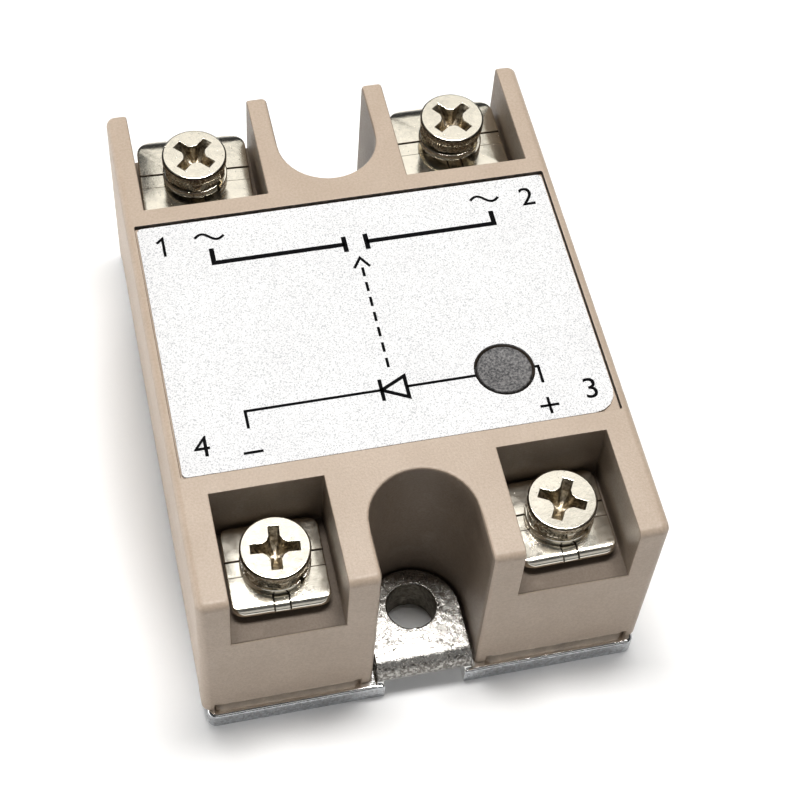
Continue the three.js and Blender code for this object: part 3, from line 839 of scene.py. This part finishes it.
CHANNEL_HALF_WIDTHS = (0.78, 0.88)
CHANNEL_DEPTH = 0.12
SEAT_GAP = 0.02  # between a clamp's underside and the strap, so that seated plates do not touch
GROOVE_DEPTH = 0.1
GROOVE_INSIDE = 0.1
GROOVE_OUTSIDE = 0.06
RIM_INSETS = (0.012, 0.035, 0.07, 0.12, 0.25, 0.4, 0.6, 0.8, 1.0, 1.2, 1.5, 1.9)
GROOVE_INSETS = (GROOVE_INSIDE, GROOVE_INSIDE / 2, 0, -GROOVE_OUTSIDE)


def clamp_coordinates(half, channel):
    """Grid lines across a clamp plate: close together at the channel's grooves and at the rim."""
    lines = {0.0, half}
    lines.update(half - inset for inset in RIM_INSETS)
    lines.update(channel - inset for inset in GROOVE_INSETS)
    lines.update((0.4, 1.3, 2.2, 3.0))
    kept = sorted(line for line in lines if line <= half)
    return [-line for line in reversed(kept) if line] + kept


def clamp_surface(x, y, half, corner, bend):
    """Plan place, share of the end bend, and depth below the flat top of a grid point: corners
    rounded in plan, rim eased, a cross of shallow channels with a fine groove along each edge."""
    depth = half - max(abs(x), abs(y))
    near_x = abs(x) - (half - corner)
    near_y = abs(y) - (half - corner)
    plan = Vector((x, y))
    if near_x > 0 and near_y > 0:
        reach = Vector((near_x, near_y))
        reach *= max(near_x, near_y) / reach.length
        plan = Vector((
            math.copysign(half - corner + reach.x, x),
            math.copysign(half - corner + reach.y, y),
        ))
    rim = 0.12
    rim_drop = rim - math.sqrt(max(rim * rim - max(rim - depth, 0) ** 2, 0))
    bent = max(abs(plan.y) - (half - bend), 0) / bend
    relief = 0.0
    for offset, channel in zip((abs(plan.x), abs(plan.y)), CHANNEL_HALF_WIDTHS):
        inside = channel - offset
        if inside > GROOVE_INSIDE * 0.75:
            relief = max(relief, CHANNEL_DEPTH)
        elif inside > GROOVE_INSIDE * 0.25:
            relief = CHANNEL_DEPTH + GROOVE_DEPTH
    return plan, bent, rim_drop + relief


def build_clamp(number):
    node = f"clamp_plate_{number}"
    low, high = (in_mm(corner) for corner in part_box(node))
    half = (high.x - low.x) / 2
    corner, bend, droop = (1.3, 0.8, 0.36) if number in INPUT_TERMINALS else (2.0, 1.35, 0.42)
    lip_thickness = 0.34
    lip_rise = CLAMP_THICKNESS - SEAT_GAP - droop - lip_thickness
    columns = clamp_coordinates(half, CHANNEL_HALF_WIDTHS[0])
    rows = clamp_coordinates(half, CHANNEL_HALF_WIDTHS[1])
    top_rows, bottom_rows = [], []
    shape = bmesh.new()
    for y in rows:
        top, bottom = [], []
        for x in columns:
            plan, bent, relief = clamp_surface(x, y, half, corner, bend)
            fall = droop * bent ** 2
            underside = SEAT_GAP + lip_rise * bent ** 2
            top.append(shape.verts.new((plan.x, plan.y, CLAMP_THICKNESS - fall - relief)))
            bottom.append(shape.verts.new((plan.x, plan.y, underside)))
        top_rows.append(top)
        bottom_rows.append(bottom)
    grooves = [
        -GROOVE_OUTSIDE < channel - abs(0.5 * (first + second)) < GROOVE_INSIDE
        for lines, channel in ((columns, CHANNEL_HALF_WIDTHS[0]), (rows, CHANNEL_HALF_WIDTHS[1]))
        for first, second in zip(lines, lines[1:])
    ]
    groove_columns, groove_rows = grooves[:len(columns) - 1], grooves[len(columns) - 1:]
    last_row, last_column = len(rows) - 1, len(columns) - 1
    for row in range(last_row):
        for column in range(last_column):
            corners = [(row, column), (row, column + 1), (row + 1, column + 1), (row + 1, column)]
            face = shape.faces.new([top_rows[r][c] for r, c in corners])
            # Groove faces get the near-black metal: painted shade in the grooves.
            face.material_index = 1 if groove_rows[row] or groove_columns[column] else 0
            shape.faces.new([bottom_rows[r][c] for r, c in reversed(corners)])
    border = [(0, c) for c in range(last_column)] + [(r, last_column) for r in range(last_row)]
    border += [(last_row, c) for c in range(last_column, 0, -1)]
    border += [(r, 0) for r in range(last_row, 0, -1)]
    for (r, c), (r2, c2) in zip(border, border[1:] + border[:1]):
        shape.faces.new((bottom_rows[r][c], bottom_rows[r2][c2], top_rows[r2][c2], top_rows[r][c]))
    hole = bmesh.new()
    add_rings(hole, [circle(SHANK_RADIUS + 0.3, z, 40) for z in (-2, 3)])
    shape = subtract(shape, hole)
    bmesh.ops.rotate(shape, verts=shape.verts, matrix=Matrix.Rotation(PLATE_TURN[number], 3, "Z"))
    center = middle(node)
    make_piece(
        f"clamp_{number}", shape, f"clamp_unit_{number}", (PLATED, GROOVE),
        replaces=[node], place=(center.x, center.y, high.z - CLAMP_THICKNESS),
    )


build_housing()
build_base()
build_sealant_bead()
for terminal in TERMINALS:
    build_screw(terminal)
    build_washer(terminal)
    build_clamp(terminal)


# ------------------------------------------------------------------ indicator window
def build_window():
    node = "indicator_window"
    center = middle(node)
    low, high = (in_mm(corner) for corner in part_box(node))
    height = high.z - low.z
    flange, flange_width, edge = 0.6, 1, 0.2
    radius = (high.x - low.x) / 2 - flange_width
    steps = 64
    shape = bmesh.new()
    rings = [circle(radius + flange_width, z, steps) for z in (0, flange)]
    rings.append(circle(radius, flange, steps))
    rings += [circle(r, z, steps) for r, z in arc((radius - edge, height - edge), edge, 0, 90, 4)]
    dish = 0.12
    for share in (0.8, 0.55, 0.3, 0.1):
        rings.append(circle(radius * share, height - dish * (1 - share ** 2), steps))
    add_rings(shape, rings)
    make_piece(
        "window_lens", shape, "relay", (LENS,),
        replaces=[node], place=(center.x, center.y, low.z),
    )


build_window()


# ------------------------------------------------------------------ label print
LABEL_TOP = in_mm(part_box("face_label")[1]).z
INK_LIFT = 0.008
INK_THICKNESS = 0.018
LINE = 0.28
BOLD_LINE = 0.5


def add_ribbon(shape, points, width, closed=False):
    """A printed stroke along points, its corners mitred."""
    count = len(points)
    vectors = [Vector(point) for point in points]
    sides = []
    for index, point in enumerate(vectors):
        before = vectors[index - 1] if index or closed else None
        after = vectors[(index + 1) % count] if index < count - 1 or closed else None
        into = (point - before).normalized() if before is not None else (after - point).normalized()
        out = (after - point).normalized() if after is not None else into
        normal = Vector((-(into + out).y, (into + out).x)).normalized()
        stretch = 1 / max(normal.dot(Vector((-into.y, into.x))), 0.4)
        sides.append((point + normal * width / 2 * stretch, point - normal * width / 2 * stretch))
    low, high = INK_LIFT, INK_LIFT + INK_THICKNESS
    rings = []
    for left, right in sides:
        rings.append([
            (left.x, left.y, low), (left.x, left.y, high),
            (right.x, right.y, high), (right.x, right.y, low),
        ])
    if closed:
        rings.append(rings[0])
    add_rings(shape, rings, close_first=not closed, close_last=not closed)


def add_digits(shape, text, place, height):
    """Characters centred on a place, from the built-in font."""
    cap_share = 0.72
    curve = bpy.data.curves.new("digits", "FONT")
    curve.body = text
    curve.size = height / cap_share
    curve.align_x = "CENTER"
    curve.align_y = "CENTER"
    curve.extrude = INK_THICKNESS / 2
    writer = bpy.data.objects.new("digits", curve)
    bpy.context.scene.collection.objects.link(writer)
    bpy.context.view_layer.update()
    evaluated = writer.evaluated_get(bpy.context.evaluated_depsgraph_get())
    mesh = bpy.data.meshes.new_from_object(evaluated)
    mesh.transform(Matrix.Translation((*place, INK_LIFT + INK_THICKNESS / 2)))
    shape.from_mesh(mesh)
    bpy.data.objects.remove(writer)
    bpy.data.curves.remove(curve)
    bpy.data.meshes.remove(mesh)


def wave(center, length, height):
    """One period of a sine as points, for the sign of an alternating supply."""
    steps = 16
    points = []
    for step in range(steps + 1):
        x = center[0] + length * (step / steps - 0.5)
        points.append((x, center[1] + height * math.sin(2 * math.pi * step / steps)))
    return points


def add_stroke_one(shape, place, height):
    """The digit 1 as a stem with a flag."""
    x, y = place
    top = y + height / 2
    stem_x = x + 0.12
    add_ribbon(shape, [(x - 0.52, top - 0.62), (stem_x, top - 0.1), (stem_x, y - height / 2)], LINE)


def build_print():
    """Terminal numbers, supply signs and a plain circuit diagram: an input line through the lamp
    and a diode, a dashed coupling arrow, and an open contact on the output side."""
    shape = bmesh.new()
    digit_height = 2.4
    add_stroke_one(shape, (-19.15, 11.6), digit_height)
    for text, x, y in (("2", 19.2, 11.5), ("3", 19.3, -13.0), ("4", -19.1, -12.75)):
        add_digits(shape, text, (x, y), digit_height)
    for x, y in ((-14.3, 12.15), (14.7, 12.1)):
        add_ribbon(shape, wave((x, y), 3.0, 0.42), LINE)
    contact_y = 8.75
    bar_half = 0.98
    for outer_x, bar_x, post_top in ((-14.35, -0.85, 10.6), (14.95, 1.42, 10.4)):
        arm = [(outer_x, post_top), (outer_x, contact_y), (bar_x, contact_y)]
        add_ribbon(shape, arm, BOLD_LINE)
        add_ribbon(shape, [(bar_x, contact_y - bar_half), (bar_x, contact_y + bar_half)], BOLD_LINE)
    line_y = -9.42
    left_x, right_x = -14.4, 14.85
    drop_end = -11.4
    diode_x = 0.3
    diode_half = 1.25
    diode_line = LINE * 1.3
    window_x = middle("indicator_window").x
    window_edge = 2.95
    add_ribbon(shape, [(left_x, drop_end), (left_x, line_y), (diode_x - diode_half, line_y)], LINE)
    add_ribbon(shape, [(diode_x + diode_half, line_y), (window_x - window_edge, line_y)], LINE)
    right_arm = [(window_x + window_edge, line_y), (right_x, line_y), (right_x, drop_end)]
    add_ribbon(shape, right_arm, LINE)
    add_ribbon(shape, [
        (diode_x + diode_half, line_y + diode_half), (diode_x - diode_half, line_y),
        (diode_x + diode_half, line_y - diode_half),
    ], diode_line, closed=True)
    bar_x = diode_x - diode_half
    add_ribbon(shape, [(bar_x, line_y - diode_half), (bar_x, line_y + diode_half)], diode_line)
    arrow_low, arrow_high = -6.9, 6.3
    dash_count, dash_share = 7, 0.6
    pitch = (arrow_high - arrow_low) / dash_count
    for dash in range(dash_count):
        start = arrow_low + dash * pitch
        add_ribbon(shape, [(diode_x, start), (diode_x, start + dash_share * pitch)], LINE)
    tip = arrow_high + 0.5
    barb, barb_drop = 0.8, 1.2
    head = [(diode_x - barb, tip - barb_drop), (diode_x, tip), (diode_x + barb, tip - barb_drop)]
    add_ribbon(shape, head, LINE)
    plus_x, plus_y = 14.8, -14.1
    sign_half = 0.95
    add_ribbon(shape, [(plus_x - sign_half, plus_y), (plus_x + sign_half, plus_y)], LINE)
    add_ribbon(shape, [(plus_x, plus_y - sign_half), (plus_x, plus_y + sign_half)], LINE)
    add_ribbon(shape, [(left_x - sign_half, plus_y), (left_x + sign_half, plus_y)], LINE)
    make_piece("label_print", shape, "relay", (INK,), place=(0, 0, LABEL_TOP))


build_print()


# ------------------------------------------------------------------ studio
def build_floor():
    """A plain sheet of studio paper, 4 m across."""
    bpy.ops.mesh.primitive_grid_add(x_subdivisions=4, y_subdivisions=4, size=4)
    floor = bpy.context.object
    floor.name = "floor"
    floor.data.materials.append(studio_paper())


def add_softbox(name, place, target, size, power, color):
    """A rectangular area light at a place, aimed at a target: metres and watts."""
    light = bpy.data.lights.new(name, "AREA")
    light.shape = "RECTANGLE"
    light.size, light.size_y = size
    light.energy = power
    light.color = color
    lamp = bpy.data.objects.new(name, light)
    lamp.location = place
    lamp.rotation_mode = "QUATERNION"
    lamp.rotation_quaternion = (Vector(target) - Vector(place)).to_track_quat("-Z", "Y")
    bpy.context.scene.collection.objects.link(lamp)


def build_light():
    """A world bright at the horizon and dim overhead, and four softboxes."""
    world = bpy.data.worlds.new("studio")
    world.use_nodes = True
    tree = world.node_tree
    background = tree.nodes["Background"]
    background.inputs["Color"].default_value = (0.94, 0.97, 1.0, 1)
    direction = tree.nodes.new("ShaderNodeTexCoord")
    parts = tree.nodes.new("ShaderNodeSeparateXYZ")
    fade = tree.nodes.new("ShaderNodeMapRange")
    fade.interpolation_type = "SMOOTHSTEP"
    horizon, overhead = 0.55, 0.05
    fade.inputs["From Min"].default_value = 0.0
    fade.inputs["From Max"].default_value = 0.24
    fade.inputs["To Min"].default_value = horizon
    fade.inputs["To Max"].default_value = overhead
    tree.links.new(direction.outputs["Generated"], parts.inputs["Vector"])
    tree.links.new(parts.outputs["Z"], fade.inputs["Value"])
    tree.links.new(fade.outputs["Result"], background.inputs["Strength"])
    bpy.context.scene.world = world
    warm_white = (1.0, 0.99, 0.975)
    warmer_white = (1.0, 0.98, 0.93)
    aim = (0, 0, 0.01)
    add_softbox("key", (0.015, 0.055, 0.42), aim, (0.22, 0.10), 1.62, warm_white)
    add_softbox("panel", (0.07, 0.28, 0.40), (0.07, 0.28, 0), (0.24, 0.22), 0.15, warmer_white)
    add_softbox("front", (0.05, -0.30, 0.28), aim, (0.34, 0.18), 0.08, warm_white)
    add_softbox("left", (-0.30, 0.02, 0.05), aim, (0.40, 0.09), 0.30, warm_white)


def build_camera():
    """Views the relay from the input end, left of centre, with a small roll."""
    azimuth, elevation, roll = (math.radians(a) for a in (17.446, 56.558, 5.813))
    distance = 0.19882
    target = Vector((0.002876, -0.003482, 0.012))
    forward = Vector((
        math.sin(azimuth) * math.cos(elevation),
        math.cos(azimuth) * math.cos(elevation),
        -math.sin(elevation),
    ))
    level = forward.cross(Vector((0, 0, 1))).normalized()
    upright = level.cross(forward)
    right = level * math.cos(roll) + upright * math.sin(roll)
    up = upright * math.cos(roll) - level * math.sin(roll)
    camera = bpy.data.objects.new("camera", bpy.data.cameras.new("camera"))
    camera.data.sensor_width = 36
    camera.data.lens = 85.74
    camera.data.clip_start = 0.005
    camera.matrix_world = Matrix.Translation(target - forward * distance) @ Matrix(
        (right, up, -forward)).transposed().to_4x4()
    bpy.context.scene.collection.objects.link(camera)
    bpy.context.scene.camera = camera


build_floor()
build_light()
build_camera()
bpy.context.scene.view_settings.view_transform = "Standard"
bpy.context.scene.view_settings.look = "Medium High Contrast"
